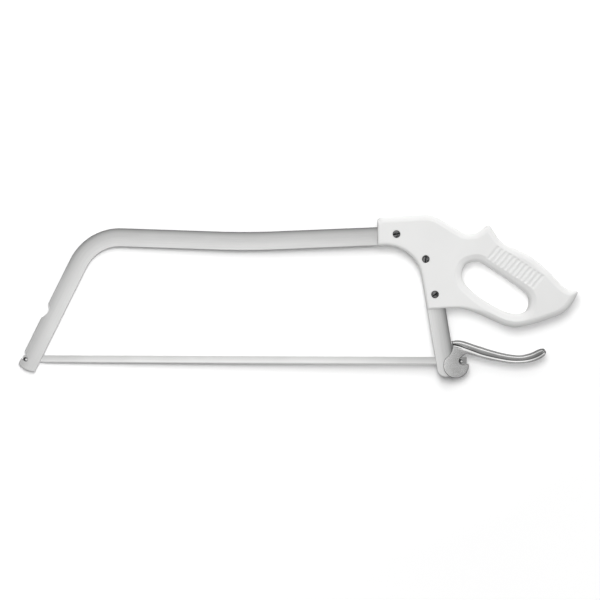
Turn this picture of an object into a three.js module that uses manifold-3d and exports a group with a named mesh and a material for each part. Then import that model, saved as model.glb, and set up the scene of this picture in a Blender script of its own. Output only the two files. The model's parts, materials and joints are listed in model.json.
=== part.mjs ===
// Butcher saw: a bent flat-bar bow with a moulded handle, a toothed blade and an over-centre tension lever.
// Millimetres. The saw lies on its side: X runs along the blade towards the handle, Y from the blade to the
// back bar, and Z through the thickness. The pieces are drawn with the front blade pin as the origin.

import * as THREE from 'three';
import { mergeVertices } from 'three/addons/utils/BufferGeometryUtils.js';
import Module from 'manifold-3d';

const wasm = await Module();
wasm.setup();

const radians = THREE.MathUtils.degToRad;
const point = (x, y) => new THREE.Vector2(x, y);
const direction = (degrees) => point(Math.cos(radians(degrees)), Math.sin(radians(degrees)));

// Driving dimensions: the gaps between pieces
const FIT = 0.3;                  // round pins and sleeves in their holes, and the bar in the handle's slot
const CHEEK_GAP = 0.4;            // each lever cheek to the side of the rear leg
const NOSE_GAP = 0.8;             // lever nose to the rear leg, its stop when shut

// Driving dimensions: the blade and its pins
const PIN_SPAN = 500;             // between the axes of the two blade pins
const BLADE_HEIGHT = 9;           // back edge to tooth tips
const BLADE_THICKNESS = 0.75;
const BLADE_FRONT_TAIL = 3.2;     // blade past the front pin
const BLADE_REAR_TAIL = 6.5;      // blade past the rear pin
const PLAIN_END = 22;             // untoothed stretch from each pin
const TOOTH_PITCH = 2.54;
const TOOTH_DEPTH = 1.3;
const TOOTH_RAKE = 0.25;          // where the tooth tip stands within its pitch
const PIN_DIAMETER = 3.5;
const PIN_PROUD = 0.3;            // each pin stands out this far past what it hooks on

// Driving dimensions: the bow
const BAR_WIDTH = 21;
const BAR_THICKNESS = 6;
const BEND_RADIUS = 53;           // centreline radius of the two corner bends
const FRONT_LEAN = 26.1;          // front leg from upright, degrees
const REAR_LEAN = 9.7;            // rear leg from upright, degrees
const SAG_FROM_FRONT = 253;       // lowest place of the back bar, from the front pin
const SAG_HEIGHT = 136.1;         // back bar's centreline above the blade there
const SAG_RADIUS = 900;
const FRONT_SLOPE = -1.67;        // back bar ahead of the sag, degrees
const REAR_SLOPE = 2.59;          // back bar behind the sag, degrees
const FRONT_PIN_OFFSET = 5.25;    // front pin ahead of the front leg's centreline
const FRONT_END = 7.9;            // front leg past the pin
const FRONT_END_BULGE = 2.5;      // rise of the curved end cut
const REAR_END = 14.8;            // rear leg past the lever pivot
const REAR_PIVOT_OFFSET = 4.15;   // lever pivot behind the rear leg's centreline
const SLIT_WIDTH = 1.5;           // blade slit in each leg
const FRONT_SLIT_DEPTH = 15;      // slit above the front pin
const REAR_SLIT_DEPTH = 12;       // slit above the lever pivot
const HOOK_MOUTH = [112, 142];    // directions of the front hook's two walls, degrees
const HOOK_REACH = 16;
const HANG_NOTCH_HEIGHT = 63;     // deepest part of the hanging notch above the pin, along the front leg
const HANG_NOTCH_DEPTH = 4.1;
const HANG_NOTCH_ABOVE = 5.8;     // notch length above its deepest part
const HANG_NOTCH_BELOW = 12.4;    // notch length below its deepest part

// Driving dimensions: the handle, placed from the corner of the bar's rear bend
const HANDLE_THICKNESS = 28;
const HANDLE_ROUND = 6.5;         // rounding of the moulded edges
const HANDLE_FRONT_ROUND = 2.5;   // sharper rounding of the front face
const HANDLE_LEAD = 7.25;         // front face ahead of the start of the bar's rear bend
const HANDLE_FRONT_TOP = 19.4;    // top of the front face above the bend's corner
const HANDLE_BOTTOM = 84.5;       // foot of the handle below the bend's corner
const HANDLE_LIP = 0.2;           // handle past the bar's inner edge
const GRIP_GROOVES = 12;
const GRIP_PITCH = 5.5;
const GRIP_GROOVE_WIDTH = 2.9;
const GRIP_GROOVE_DEPTH = 0.8;
const GRIP_GROOVE_LENGTH = 17;
const GRIP_MIDDLE = point(105.6, -36.5);
const GRIP_ROW = -32.8;           // direction of the row of grooves, degrees
const GRIP_TURN = 50.6;           // direction of each groove, degrees
const HANDLE_BACK = [             // from the front face over the thumb horn to the tail
  [-28, 20.5], [-4.5, 22.2], [6, 22.3], [18.5, 17.2], [36, 6.9], [45, 1.8], [51, 0.7], [59, 1.9], [65, 5.1],
  [70.2, 8.9], [73.2, 11], [76, 9.3], [80.5, 2.4], [86.5, -5.9], [94, -12], [105, -16.4], [122, -24.8],
  [134, -33.8], [145, -43.6], [153, -52.6], [160, -59.2], [167, -62.9], [175.2, -64.3],
];
const HANDLE_BELLY = [            // from the tail under the grip to the foot on the rear leg
  [176.6, -66.2], [173.5, -72.6], [169, -80.2], [163, -87], [156, -91.7], [146, -95.7], [125, -102.7],
  [107.2, -106.3], [97, -105.3], [89, -102.7], [66, -92.4], [54, -87.8], [42.5, -85], [30, -84.4],
];
const HAND_HOLE = [               // once round, ending where it starts
  [47.1, -35.6], [51.8, -32.7], [58.8, -31.2], [66, -32.6], [83.4, -43.3], [104.6, -57.7], [115.5, -66],
  [119.5, -71.1], [120.9, -76.9], [119, -85], [113.5, -89.9], [103, -90.7], [88, -86.1], [65, -72.8],
  [50, -59.8], [45.2, -53.3], [43.6, -46.8], [44.6, -40.6], [47.1, -35.6],
];

// Driving dimensions: the handle screws and their sleeve nuts
const SCREW_HEAD_DIAMETER = 8.4;
const SCREW_HEAD_HEIGHT = 2.2;
const SCREW_SHANK_DIAMETER = 3.6;
const SCREW_SHANK_LENGTH = 17;
const SLEEVE_DIAMETER = 6;
const SLEEVE_LENGTH = 19;
const SLOT_WIDTH = 1.2;           // screwdriver slot
const SLOT_DEPTH = 1.1;
const HEAD_SINK = 0.2;            // heads below the handle's face
const HEAD_RIM = 0.5;             // bevel round the heads
const FRONT_SCREW_TURN = 77.2;    // place of the front screw round the rear bend, degrees
const FRONT_SCREW_OUT = 3.5;      // front screw outside the bar's centreline
const MIDDLE_SCREW_TURN = 29.9;
const MIDDLE_SCREW_OUT = 0.3;
const LOW_SCREW_DOWN = 23.3;      // low screw below the end of the rear bend
const LOW_SCREW_OUT = 0.8;
const SCREW_SLOT_TURNS = { front: 12, middle: 82, low: 40 };

// Driving dimensions: the tension lever, placed from its pivot
const CRANK = 14;                 // pivot to rear blade pin
const OVER_CENTRE = 9.9;          // pin past dead centre when shut, degrees
const PIVOT_DIAMETER = 5;
const SHEET = 1.5;                // lever sheet thickness
const CHEEK_RADIUS = 14.7;
const CHEEK_CENTRE = point(8, -2.7);
const THROAT_RADIUS = 4.2;
const THROAT_MOUTH = [0, 45];     // directions of the throat's walls, degrees
const THROAT_FLOOR = 12;          // length of the throat's lower wall
const THROAT_ROOF = 7;            // length of the throat's upper wall
const NOSE_HEIGHT = 25.3;         // top of the lever's nose above the pivot
const ARM_SWELL = 1.1;            // rounded upper part of the arm stands out past the cheeks
const ARM_FOLD = 2.4;             // outer radius of the arm's folded edges
const LIP_SHARE = 0.33;           // height of the arm's lower lip as a share of the arm's
const CHEEK_SET = 1;              // cheeks' front edge behind the nose
const FLANK_TOP = 7;              // start of the cheeks' curved flank below the nose
const FLANK_CURVE = 6;            // how far down the flank keeps upright above the round cheek
const CHEEK_JOIN = 147;           // where the flank meets the round cheek, degrees
const CHEEK_BACK = [[19.5, 12], [19.5, 19.3]];   // the cheeks' upper rear edge, under the arm
const ARM_START = [2, 14];        // lower start of the arm: behind the nose, above the pivot
const ARM_BACK = [[13.7, 25.8], [33.8, 19.6], [58.6, 12.3], [79.8, 9.2], [96, 11.8], [109.4, 17.3]];
const ARM_UNDER = [[19.5, 11], [41.4, 4.8], [64.4, 0.6], [77, -0.4], [92, 1.2], [104, 5.9], [111, 14.4]];

// Finish of each kind of piece
const satinSteel = () => new THREE.MeshStandardMaterial({ color: 0xc4c4c2, roughness: 0.38, metalness: 1 });
const polishedSteel = () => new THREE.MeshStandardMaterial({ color: 0xd2d2d2, roughness: 0.15, metalness: 1 });
const darkSteel = () => new THREE.MeshStandardMaterial({ color: 0x55565a, roughness: 0.45, metalness: 1 });
const whitePlastic = () => new THREE.MeshStandardMaterial({ color: 0xececea, roughness: 0.45, metalness: 0 });

// Solids: a closed geometry becomes a solid that can be cut and joined, and goes back to a geometry.

function solid(geometry) {
  const bare = geometry.clone();
  bare.deleteAttribute('normal');
  bare.deleteAttribute('uv');
  const merged = mergeVertices(bare, 1e-4);
  const corners = merged.index.array;
  const triangles = [];
  for (let i = 0; i < corners.length; i += 3) {
    const [a, b, c] = corners.slice(i, i + 3);
    if (a !== b && b !== c && c !== a) triangles.push(a, b, c);
  }
  return new wasm.Manifold(new wasm.Mesh({
    numProp: 3,
    vertProperties: new Float32Array(merged.attributes.position.array),
    triVerts: new Uint32Array(triangles),
  }));
}

function geometryOf(body) {
  const { vertProperties, triVerts } = body.getMesh();
  const geometry = new THREE.BufferGeometry();
  geometry.setAttribute('position', new THREE.BufferAttribute(vertProperties, 3));
  geometry.setIndex(new THREE.BufferAttribute(triVerts, 1));
  geometry.computeVertexNormals();
  return geometry;
}

// A flat outline made into a plate whose middle lies at the given height.
function plate(outline, thickness, middle = 0) {
  const shape = outline instanceof THREE.Shape ? outline : new THREE.Shape(outline);
  const flat = { depth: thickness, bevelEnabled: false, curveSegments: 10 };
  const geometry = new THREE.ExtrudeGeometry(shape, flat);
  return solid(geometry.translate(0, 0, middle - thickness / 2));
}

// A round bar along Z through a place in the XY plane.
function rod(diameter, low, high, at) {
  const geometry = new THREE.CylinderGeometry(diameter / 2, diameter / 2, high - low, 24);
  return solid(geometry.rotateX(Math.PI / 2).translate(at.x, at.y, (low + high) / 2));
}

// Outlines

const toLeft = (heading) => point(-heading.y, heading.x);
const from = (start, heading, distance) => start.clone().addScaledVector(heading, distance);

// Where the line through one point along a heading meets another such line.
function meet(first, firstHeading, second, secondHeading) {
  const reach = second.clone().sub(first).cross(secondHeading) / firstHeading.cross(secondHeading);
  return from(first, firstHeading, reach);
}

// The arc that rounds one corner of a bent centreline.
function bend(before, corner, after, radius) {
  const arriving = corner.clone().sub(before).normalize();
  const leaving = after.clone().sub(corner).normalize();
  const turn = Math.atan2(arriving.cross(leaving), arriving.dot(leaving));
  const side = Math.sign(turn);
  const start = from(corner, arriving, -radius * Math.tan(Math.abs(turn) / 2));
  const centre = from(start, toLeft(arriving), side * radius);
  const end = from(corner, leaving, start.distanceTo(corner));
  const firstAngle = start.clone().sub(centre).angle();
  return { arriving, leaving, turn, side, radius, start, end, centre, firstAngle };
}

// One edge of a bar bent through the given corners: the centreline moved to its left by an offset.
function bentEdge(corners, radii, offset) {
  const edge = [];
  const steps = 12;
  radii.forEach((radius, index) => {
    const arc = bend(corners[index], corners[index + 1], corners[index + 2], radius);
    if (index === 0) edge.push(from(corners[0], toLeft(arc.arriving), offset));
    for (let step = 0; step <= steps; step++) {
      const angle = arc.firstAngle + arc.turn * step / steps;
      const reach = radius - arc.side * offset;
      edge.push(point(arc.centre.x + reach * Math.cos(angle), arc.centre.y + reach * Math.sin(angle)));
    }
    if (index === radii.length - 1) edge.push(from(corners[index + 2], toLeft(arc.leaving), offset));
  });
  return edge;
}

// A notch with a round inner end, whose two walls open outwards in the given directions.
function mouth(centre, radius, [firstWall, secondWall], firstReach, secondReach) {
  const shape = new THREE.Shape();
  const arcStart = radians(secondWall + 90);
  const arcEnd = radians(firstWall - 90) + 2 * Math.PI;
  shape.absarc(centre.x, centre.y, radius, arcStart, arcEnd, false);
  const firstEnd = from(from(centre, direction(firstWall - 90), radius), direction(firstWall), firstReach);
  const secondEnd = from(from(centre, direction(secondWall + 90), radius), direction(secondWall), secondReach);
  shape.lineTo(firstEnd.x, firstEnd.y);
  shape.lineTo(secondEnd.x, secondEnd.y);
  shape.closePath();
  return shape;
}

// Places that the pieces share

const frontPin = point(0, 0);
const rearPin = point(PIN_SPAN, 0);
const pivot = from(rearPin, direction(OVER_CENTRE), -CRANK);

const frontHeading = direction(90 - FRONT_LEAN);
const rearHeading = direction(REAR_LEAN - 90);
const frontFoot = from(frontPin, toLeft(frontHeading), -FRONT_PIN_OFFSET);
const rearFoot = from(pivot, toLeft(rearHeading), -REAR_PIVOT_OFFSET);
const sag = point(SAG_FROM_FRONT, SAG_HEIGHT);
const frontCorner = meet(frontFoot, frontHeading, sag, direction(FRONT_SLOPE));
const rearCorner = meet(rearFoot, rearHeading, sag, direction(REAR_SLOPE));
const frontEnd = from(frontFoot, frontHeading, -FRONT_END);
const rearEnd = from(rearFoot, rearHeading, REAR_END);
const bowCorners = [frontEnd, frontCorner, sag, rearCorner, rearEnd];
const bowRadii = [BEND_RADIUS, SAG_RADIUS, BEND_RADIUS];
const rearBend = bend(sag, rearCorner, rearEnd, BEND_RADIUS);

// The three screws: two round the rear bend, by angle, and one on the leg below it.
const onBend = (degrees, outward) => from(rearBend.centre, direction(degrees), BEND_RADIUS + outward);
const onLeg = from(rearBend.end, rearHeading, LOW_SCREW_DOWN);
const screws = [
  { name: 'front', at: onBend(FRONT_SCREW_TURN, FRONT_SCREW_OUT) },
  { name: 'middle', at: onBend(MIDDLE_SCREW_TURN, MIDDLE_SCREW_OUT) },
  { name: 'low', at: from(onLeg, toLeft(rearHeading), LOW_SCREW_OUT) },
];

// The bow: the flat bar's outline, then the slits, notches and holes cut from it.

function frameBow() {
  const half = BAR_WIDTH / 2;
  const outer = bentEdge(bowCorners, bowRadii, half).slice(0, -1);
  const inner = bentEdge(bowCorners, bowRadii, -half).slice(0, -1);
  const shape = new THREE.Shape(outer);
  const endCentre = from(rearEnd, rearHeading, -half);
  const startAngle = toLeft(rearHeading).angle();
  shape.absarc(endCentre.x, endCentre.y, half, startAngle, startAngle - Math.PI, true);
  for (const place of inner.reverse()) shape.lineTo(place.x, place.y);
  const bulge = from(frontEnd, frontHeading, -2 * FRONT_END_BULGE);
  shape.quadraticCurveTo(bulge.x, bulge.y, outer[0].x, outer[0].y);
  let bow = plate(shape, BAR_THICKNESS);

  const through = BAR_THICKNESS * 2;
  const hook = mouth(frontPin, PIN_DIAMETER / 2 + FIT, HOOK_MOUTH, HOOK_REACH, HOOK_REACH);
  bow = bow.subtract(plate(hook, through));

  const edgeMiddle = from(from(frontFoot, frontHeading, HANG_NOTCH_HEIGHT), toLeft(frontHeading), half);
  const notch = new THREE.Shape();
  const notchTop = from(edgeMiddle, frontHeading, HANG_NOTCH_ABOVE);
  const notchFoot = from(edgeMiddle, frontHeading, -HANG_NOTCH_BELOW);
  const notchDeep = from(edgeMiddle, toLeft(frontHeading), -2 * HANG_NOTCH_DEPTH);
  const clearOf = (place) => from(place, toLeft(frontHeading), BAR_WIDTH);
  notch.moveTo(notchTop.x, notchTop.y);
  notch.quadraticCurveTo(notchDeep.x, notchDeep.y, notchFoot.x, notchFoot.y);
  notch.lineTo(clearOf(notchFoot).x, clearOf(notchFoot).y);
  notch.lineTo(clearOf(notchTop).x, clearOf(notchTop).y);
  bow = bow.subtract(plate(notch, through));

  const slit = (foot, heading, above, below) => {
    const cut = [];
    for (const [side, reach] of [[1, -below], [-1, -below], [-1, above], [1, above]]) {
      cut.push(from(from(foot, toLeft(heading), side * BAR_WIDTH), heading, reach));
    }
    return plate(cut.reverse(), SLIT_WIDTH);
  };
  bow = bow.subtract(slit(frontFoot, frontHeading, FRONT_SLIT_DEPTH, FRONT_END + BAR_WIDTH));
  bow = bow.subtract(slit(rearFoot, rearHeading.clone().negate(), REAR_SLIT_DEPTH, REAR_END + BAR_WIDTH));

  for (const { at } of screws) {
    bow = bow.subtract(rod(SLEEVE_DIAMETER + 2 * FIT, -through, through, at));
  }
  return geometryOf(bow.subtract(rod(PIVOT_DIAMETER + 2 * FIT, -through, through, pivot)));
}

// The handle: a slab with rounded rims, then the slot for the bar, the screw holes and the grip grooves.

// Each loop keeps its shape at mid-thickness and draws in towards the two faces by its own rounding.
function roundedSlab(loops, half, steps) {
  const rims = loops.flatMap((loop) => loop.map((place, index) => {
    const before = loop[(index + loop.length - 1) % loop.length];
    const after = loop[(index + 1) % loop.length];
    const inward = toLeft(after.at.clone().sub(before.at).normalize());
    return { ...place, after: after.at, inward };
  }));
  const clearance = (spot) => Math.min(...rims.map(({ at, after }) => {
    const edge = after.clone().sub(at);
    const share = THREE.MathUtils.clamp(spot.clone().sub(at).dot(edge) / edge.lengthSq(), 0, 1);
    return spot.distanceTo(from(at, edge, share));
  }));
  for (const rim of rims) {
    const corner = Math.abs(rim.inward.cross(rim.after.clone().sub(rim.at).normalize()));
    rim.inset = rim.round;
    for (let tries = 0; tries < 40; tries++) {
      if (clearance(from(rim.at, rim.inward, rim.inset)) > 0.99 * corner * rim.inset) break;
      rim.inset *= 0.93;
    }
  }

  const rings = [];
  for (let step = steps; step >= 0; step--) rings.push({ side: -1, angle: Math.PI / 2 * step / steps });
  for (let step = 0; step <= steps; step++) rings.push({ side: 1, angle: Math.PI / 2 * step / steps });
  const positions = rings.flatMap(({ side, angle }) => rims.flatMap((rim) => {
    const spot = from(rim.at, rim.inward, rim.inset * (1 - Math.cos(angle)));
    return [spot.x, spot.y, side * (half - rim.round * (1 - Math.sin(angle)))];
  }));

  const count = rims.length;
  const triangles = [];
  for (let ring = 0; ring < rings.length - 1; ring++) {
    let first = ring * count;
    for (const loop of loops) {
      for (let index = 0; index < loop.length; index++) {
        const here = first + index;
        const next = first + (index + 1) % loop.length;
        triangles.push(here, next, next + count, here, next + count, here + count);
      }
      first += loop.length;
    }
  }
  const faces = loops.map((loop) => loop.map((place) => {
    const rim = rims.find(({ at }) => at === place.at);
    return from(rim.at, rim.inward, rim.inset);
  }));
  const top = (rings.length - 1) * count;
  for (const [a, b, c] of THREE.ShapeUtils.triangulateShape(faces[0], faces.slice(1))) {
    triangles.push(top + a, top + b, top + c, c, b, a);
  }
  const geometry = new THREE.BufferGeometry();
  geometry.setAttribute('position', new THREE.Float32BufferAttribute(positions, 3));
  geometry.setIndex(triangles);
  return geometry;
}

// A smooth run through hand-picked points, given from the corner of the rear bend.
function handleRun(places, steps) {
  const curve = new THREE.SplineCurve(places.map(([x, y]) => point(rearCorner.x + x, rearCorner.y + y)));
  return curve.getSpacedPoints(steps);
}

function handleLoops() {
  const edgeOffset = -(BAR_WIDTH / 2 + HANDLE_LIP);
  const barFront = from(rearBend.start, rearBend.arriving, -HANDLE_LEAD);
  const barFoot = meet(point(0, rearCorner.y - HANDLE_BOTTOM), point(1, 0), rearFoot, rearHeading);
  const concave = bentEdge([barFront, rearCorner, barFoot], [BEND_RADIUS], edgeOffset);
  const front = concave[0].x;
  const backStart = [front + HANDLE_FRONT_ROUND - rearCorner.x, HANDLE_FRONT_TOP];
  const back = handleRun([backStart, ...HANDLE_BACK], 46);
  const belly = handleRun(HANDLE_BELLY, 28);
  const handHole = handleRun(HAND_HOLE, 40).slice(1);

  const rounded = (places, round) => places.map((at) => ({ at, round }));
  const outside = [
    ...rounded(back, HANDLE_ROUND),
    ...rounded(belly, HANDLE_ROUND),
    ...rounded(concave.slice(1).reverse(), HANDLE_ROUND),
    { at: concave[0], round: HANDLE_FRONT_ROUND },
    { at: point(front, back[0].y - HANDLE_FRONT_ROUND), round: HANDLE_FRONT_ROUND },
  ];
  return [outside.reverse(), rounded(handHole, HANDLE_ROUND)];
}

function handle() {
  const half = HANDLE_THICKNESS / 2;
  let body = solid(roundedSlab(handleLoops(), half, 2));

  const outer = bentEdge(bowCorners, bowRadii, BAR_WIDTH / 2 + FIT);
  const beyond = bentEdge(bowCorners, bowRadii, -BAR_WIDTH / 2 - 10 * HANDLE_LIP);
  body = body.subtract(plate([...outer, ...beyond.reverse()].reverse(), BAR_THICKNESS + 2 * FIT));

  const recess = SCREW_HEAD_HEIGHT + HEAD_SINK + FIT;
  for (const { at } of screws) {
    body = body.subtract(rod(SLEEVE_DIAMETER + 2 * FIT, -half, half, at));
    body = body.subtract(rod(SCREW_HEAD_DIAMETER + 2 * FIT, half - recess, half + recess, at));
    body = body.subtract(rod(SCREW_HEAD_DIAMETER + 2 * FIT, -half - recess, -half + recess, at));
  }

  const radius = (GRIP_GROOVE_WIDTH ** 2 / 4 + GRIP_GROOVE_DEPTH ** 2) / (2 * GRIP_GROOVE_DEPTH);
  const middle = rearCorner.clone().add(GRIP_MIDDLE);
  for (let index = 0; index < GRIP_GROOVES; index++) {
    const at = from(middle, direction(GRIP_ROW), (index - (GRIP_GROOVES - 1) / 2) * GRIP_PITCH);
    for (const side of [-1, 1]) {
      const groove = new THREE.CapsuleGeometry(radius, GRIP_GROOVE_LENGTH - 2 * radius, 1, 8);
      groove.rotateZ(radians(GRIP_TURN - 90));
      groove.translate(at.x, at.y, side * (half + radius - GRIP_GROOVE_DEPTH));
      body = body.subtract(solid(groove));
    }
  }
  return geometryOf(body);
}

// Screws and sleeve nuts, turned about Z, with their heads sunk in the handle's two faces.

function turned(profile) {
  const geometry = new THREE.LatheGeometry(profile.map(([radius, height]) => point(radius, height)), 24);
  return solid(geometry.rotateX(Math.PI / 2));
}

function slotted(body, headTop, slotTurn) {
  const slot = new THREE.BoxGeometry(2 * SCREW_HEAD_DIAMETER, SLOT_WIDTH, 2 * SLOT_DEPTH);
  return geometryOf(body.subtract(solid(slot.rotateZ(radians(slotTurn)).translate(0, 0, headTop))));
}

function handleScrew(slotTurn) {
  const top = HANDLE_THICKNESS / 2 - HEAD_SINK;
  const seat = top - SCREW_HEAD_HEIGHT;
  const head = SCREW_HEAD_DIAMETER / 2;
  const shank = SCREW_SHANK_DIAMETER / 2;
  const body = turned([
    [0, seat - SCREW_SHANK_LENGTH], [shank, seat - SCREW_SHANK_LENGTH], [shank, seat],
    [head, seat], [head, top - HEAD_RIM], [head - HEAD_RIM, top], [0, top],
  ]);
  return slotted(body, top, slotTurn);
}

function sleeveNut(slotTurn) {
  const bottom = -HANDLE_THICKNESS / 2 + HEAD_SINK;
  const seat = bottom + SCREW_HEAD_HEIGHT;
  const head = SCREW_HEAD_DIAMETER / 2;
  const sleeve = SLEEVE_DIAMETER / 2;
  const bore = SCREW_SHANK_DIAMETER / 2 + FIT;
  const body = turned([
    [0, bottom], [head - HEAD_RIM, bottom], [head, bottom + HEAD_RIM], [head, seat], [sleeve, seat],
    [sleeve, seat + SLEEVE_LENGTH], [bore, seat + SLEEVE_LENGTH], [bore, seat], [0, seat],
  ]);
  return slotted(body, bottom, slotTurn);
}

// The blade: a strip with teeth along its lower edge and a hole for each pin.

function sawBlade() {
  const back = BLADE_HEIGHT / 2;
  const tip = -BLADE_HEIGHT / 2;
  const gullet = tip + TOOTH_DEPTH;
  const front = -BLADE_FRONT_TAIL;
  const rear = PIN_SPAN + BLADE_REAR_TAIL;
  const teeth = Math.floor((PIN_SPAN - 2 * PLAIN_END) / TOOTH_PITCH);
  const firstTooth = (PIN_SPAN - teeth * TOOTH_PITCH) / 2;
  const outline = [point(rear, back), point(front, back), point(front, gullet)];
  for (let tooth = 0; tooth < teeth; tooth++) {
    const root = firstTooth + tooth * TOOTH_PITCH;
    outline.push(point(root, gullet), point(root + TOOTH_RAKE * TOOTH_PITCH, tip));
  }
  outline.push(point(firstTooth + teeth * TOOTH_PITCH, gullet), point(rear, gullet));
  let blade = plate(outline, BLADE_THICKNESS);
  for (const pin of [frontPin, rearPin]) {
    blade = blade.subtract(rod(PIN_DIAMETER + 2 * FIT, -BLADE_THICKNESS, BLADE_THICKNESS, pin));
  }
  return geometryOf(blade);
}

function bladePin(hookedWidth) {
  const half = hookedWidth / 2 + PIN_PROUD;
  return geometryOf(rod(PIN_DIAMETER, -half, half, frontPin));
}

// The tension lever: two cheeks and a channel-section arm folded from one sheet. It is drawn about its pivot.

const cheekInner = BAR_THICKNESS / 2 + CHEEK_GAP;
const cheekOuter = cheekInner + SHEET;
const crankPin = rearPin.clone().sub(pivot);

// Top corner of the lever's nose, just clear of the rear leg's outer edge.
function leverNose() {
  const legEdge = from(point(0, 0), toLeft(rearHeading), BAR_WIDTH / 2 - REAR_PIVOT_OFFSET + NOSE_GAP);
  return meet(legEdge, rearHeading, point(0, NOSE_HEIGHT), point(1, 0));
}

// Half of the arm's folded section, from the middle of its back round to the middle of its inside.
function armSection(height) {
  const swollen = cheekOuter + ARM_SWELL;
  const fold = Math.min(ARM_FOLD, height / 3);
  const lip = LIP_SHARE * height;
  const wall = Math.min(SHEET, height / 3);
  const slant = Math.min(ARM_SWELL, height / 6);
  const cut = fold * (1 - Math.SQRT1_2);
  return [
    [0, height], [swollen - fold, height], [swollen - cut, height - cut], [swollen, height - fold],
    [swollen, lip + slant], [cheekOuter, lip], [cheekOuter, 0], [cheekInner, 0], [cheekInner, lip],
    [swollen - wall, lip + slant], [swollen - wall, height - wall], [0, height - wall],
  ];
}

function leverArm() {
  const nose = leverNose();
  const places = (list) => list.map(([x, y]) => point(x, y));
  const spine = new THREE.SplineCurve([nose, ...places(ARM_BACK)]);
  const lower = new THREE.SplineCurve([point(nose.x + ARM_START[0], ARM_START[1]), ...places(ARM_UNDER)]);
  const stations = 16;
  const tops = spine.getSpacedPoints(stations);
  const bottoms = lower.getSpacedPoints(stations);
  const rings = tops.map((top, index) => {
    const rise = top.clone().sub(bottoms[index]);
    const right = armSection(rise.length());
    const left = right.slice(1, -1).reverse().map(([across, up]) => [-across, up]);
    return [...right, ...left].map(([across, up]) => {
      const spot = from(bottoms[index], rise.clone().normalize(), up);
      return [spot.x, spot.y, across];
    });
  });
  const count = rings[0].length;
  const triangles = [];
  for (let ring = 0; ring < stations; ring++) {
    for (let index = 0; index < count; index++) {
      const here = ring * count + index;
      const next = ring * count + (index + 1) % count;
      triangles.push(here, next, next + count, here, next + count, here + count);
    }
  }
  const flat = rings[0].map(([, up, across]) => point(across, up));
  for (const [a, b, c] of THREE.ShapeUtils.triangulateShape(flat, [])) {
    triangles.push(a, b, c);
    const last = stations * count;
    triangles.push(last + c, last + b, last + a);
  }
  const geometry = new THREE.BufferGeometry();
  geometry.setAttribute('position', new THREE.Float32BufferAttribute(rings.flat(2), 3));
  geometry.setIndex(triangles);
  return solid(geometry);
}

function tensionLever() {
  const nose = leverNose();
  const cheek = new THREE.Shape();
  const flankTop = point(nose.x + CHEEK_SET, NOSE_HEIGHT - FLANK_TOP);
  const join = from(CHEEK_CENTRE, direction(CHEEK_JOIN), CHEEK_RADIUS);
  cheek.moveTo(flankTop.x, NOSE_HEIGHT - 2 * SHEET);
  cheek.lineTo(flankTop.x, flankTop.y);
  cheek.quadraticCurveTo(flankTop.x, join.y + FLANK_CURVE, join.x, join.y);
  cheek.absarc(CHEEK_CENTRE.x, CHEEK_CENTRE.y, CHEEK_RADIUS, radians(CHEEK_JOIN), 2 * Math.PI, false);
  for (const [x, y] of CHEEK_BACK) cheek.lineTo(x, y);
  cheek.closePath();

  const throatCentre = point(crankPin.x - PIN_DIAMETER / 2 - FIT + THROAT_RADIUS, crankPin.y);
  const throat = mouth(throatCentre, THROAT_RADIUS, THROAT_MOUTH, THROAT_FLOOR, THROAT_ROOF);
  let lever = leverArm();
  for (const side of [-1, 1]) {
    lever = lever.add(plate(cheek, SHEET, side * (cheekInner + cheekOuter) / 2));
  }
  lever = lever.subtract(plate(throat, 4 * cheekOuter));
  return geometryOf(lever.subtract(rod(PIVOT_DIAMETER + 2 * FIT, -cheekOuter, cheekOuter, point(0, 0))));
}

function leverPivot() {
  const inner = SLIT_WIDTH / 2 + FIT;
  return geometryOf(rod(PIVOT_DIAMETER, inner, cheekOuter, point(0, 0)));
}

// The assembly

const saw = new THREE.Group();

function add(name, geometry, material, at = point(0, 0)) {
  const mesh = new THREE.Mesh(geometry, material);
  mesh.name = name;
  mesh.position.set(at.x, at.y, 0);
  saw.add(mesh);
  return mesh;
}

add('frame_bow', frameBow(), satinSteel());
add('handle', handle(), whitePlastic());
for (const { name, at } of screws) {
  add(`handle_screw_${name}`, handleScrew(SCREW_SLOT_TURNS[name]), darkSteel(), at);
  add(`sleeve_nut_${name}`, sleeveNut(-SCREW_SLOT_TURNS[name]), darkSteel(), at);
}
add('saw_blade', sawBlade(), satinSteel());
add('blade_front_pin', bladePin(BAR_THICKNESS), satinSteel(), frontPin);
add('blade_rear_pin', bladePin(2 * cheekOuter), satinSteel(), rearPin);
add('tension_lever', tensionLever(), polishedSteel(), pivot);
add('lever_pivot_upper', leverPivot(), polishedSteel(), pivot);
add('lever_pivot_lower', leverPivot(), polishedSteel(), pivot).rotation.x = Math.PI;

// The origin goes to the middle of the saw's length and width, on the surface that it lies on.
saw.updateMatrixWorld(true);
const box = new THREE.Box3().setFromObject(saw);
const middle = box.getCenter(new THREE.Vector3());
saw.position.set(-middle.x, -middle.y, -box.min.z);

const part = new THREE.Group();
part.add(saw);

export default part;
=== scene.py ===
import json
import math

import bmesh
import bpy
import numpy as np
from mathutils import Matrix, Vector
from mathutils.geometry import delaunay_2d_cdt


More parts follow.
